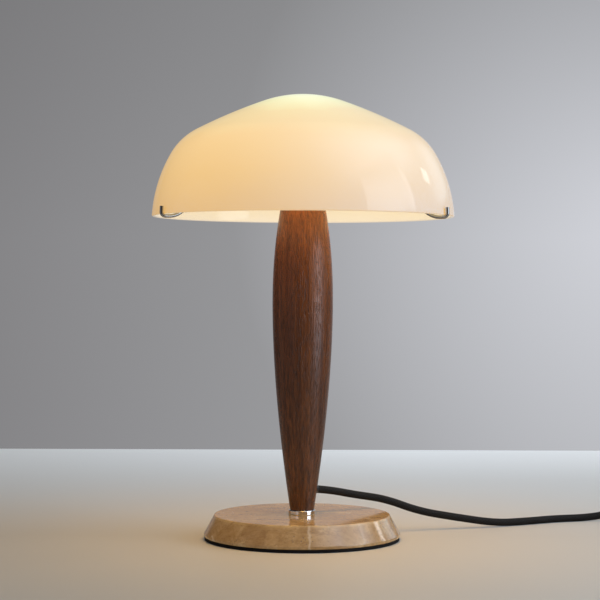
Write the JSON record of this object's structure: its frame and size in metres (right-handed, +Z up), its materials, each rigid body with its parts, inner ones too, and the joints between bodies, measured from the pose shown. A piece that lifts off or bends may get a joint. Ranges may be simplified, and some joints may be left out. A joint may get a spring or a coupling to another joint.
{
  "type": "table lamp",
  "caption": "Table lamp: opal mushroom dome resting in wire hooks on a turned walnut stem with a polished stone disc foot, black braided cord with inline switch and plug.",
  "frame": {"origin": "centre of the foot pad's underside, on the table", "axes": "+Z up along the stem, -Y towards the front, +X to the side where the cord leaves"},
  "size_m": [0.5835, 0.2873, 0.412],
  "materials": {
    "opal_glass": "glossy opal, lit from inside",
    "walnut": "satin oiled walnut, grain along the stem",
    "stone": "polished banded beige stone with small pits",
    "pad": "matte black pad",
    "chrome": "bright polished",
    "nickel": "nickel plated",
    "steel": "zinc plated",
    "brass": "plain brass",
    "black_plastic": "fine matte black",
    "rocker_plastic": "gloss black",
    "holder_ceramic": "plain white",
    "black_glaze": "black insulating glass bead",
    "bulb_white": "white moulded collar",
    "bulb_opal": "opal diffuser, lit",
    "led_aluminium": "white coated plate",
    "brown_wire": "insulated wire",
    "blue_wire": "insulated wire",
    "cord_braid": "black textile braid",
    "cord_rubber": "matte black sleeve",
    "tie_strap": "black woven strap"
  },
  "bodies": {
    "lamp": {"foot_pad": "pad", "foot": "stone", "foot_washer": "steel", "foot_bolt": "steel", "stem_insert": "brass", "collar": "chrome", "stem": "walnut", "cord_bush": "black_plastic", "live_wire": "brown_wire", "neutral_wire": "blue_wire", "arm_hub": "chrome", "arm_left": "chrome", "arm_right": "chrome", "arm_rear": "chrome", "hub_ring": "black_plastic", "nipple": "steel", "nipple_nut": "steel", "holder_cap": "black_plastic", "holder_core": "holder_ceramic", "terminal_screws": "brass", "centre_contact": "brass", "screw_shell": "brass", "holder_skirt": "black_plastic", "cord_lead": "cord_braid", "cord_link": "cord_braid", "cord_coil": "cord_braid", "cord_tail": "cord_braid", "cord_tie": "tie_strap", "switch_base": "black_plastic", "switch_cover": "black_plastic", "switch_screws": "steel", "switch_terminals": "brass", "switch_sleeves": "cord_rubber", "plug_sleeve": "cord_rubber", "plug_body": "black_plastic", "plug_pins": "nickel"},
    "shade": {"shade": "opal_glass"},
    "bulb_foot": {"bulb_tip": "steel", "bulb_insulator": "black_glaze"},
    "bulb": {"bulb_cap": "nickel", "bulb_collar": "bulb_white", "led_plate": "led_aluminium", "bulb_globe": "bulb_opal"},
    "rocker": {"switch_rocker": "rocker_plastic"}
  },
  "joints": [
    {"name": "shade_lift", "type": "slide", "parent": "lamp", "child": "shade", "axis": [0, 0, 1], "range_m": [0, 0.13]},
    {"name": "bulb_rise", "type": "slide", "parent": "lamp", "child": "bulb_foot", "axis": [0, 0, 1], "range_m": [0, 0.0113]},
    {"name": "bulb_turn", "type": "hinge", "parent": "bulb_foot", "child": "bulb", "pos_m": [0, 0, 0.3216], "axis": [0, 0, 1], "range_deg": [0, 1440]},
    {"name": "switch_rock", "type": "hinge", "parent": "lamp", "child": "rocker", "pos_m": [0.3575, 0.1345, 0.0123], "axis": [0, 1, 0], "range_deg": [-16, 0]}
  ],
  "couplings": [
    {"joint": "bulb_rise", "follows": "bulb_turn", "m_per_rad": 0.00044914}
  ]
}
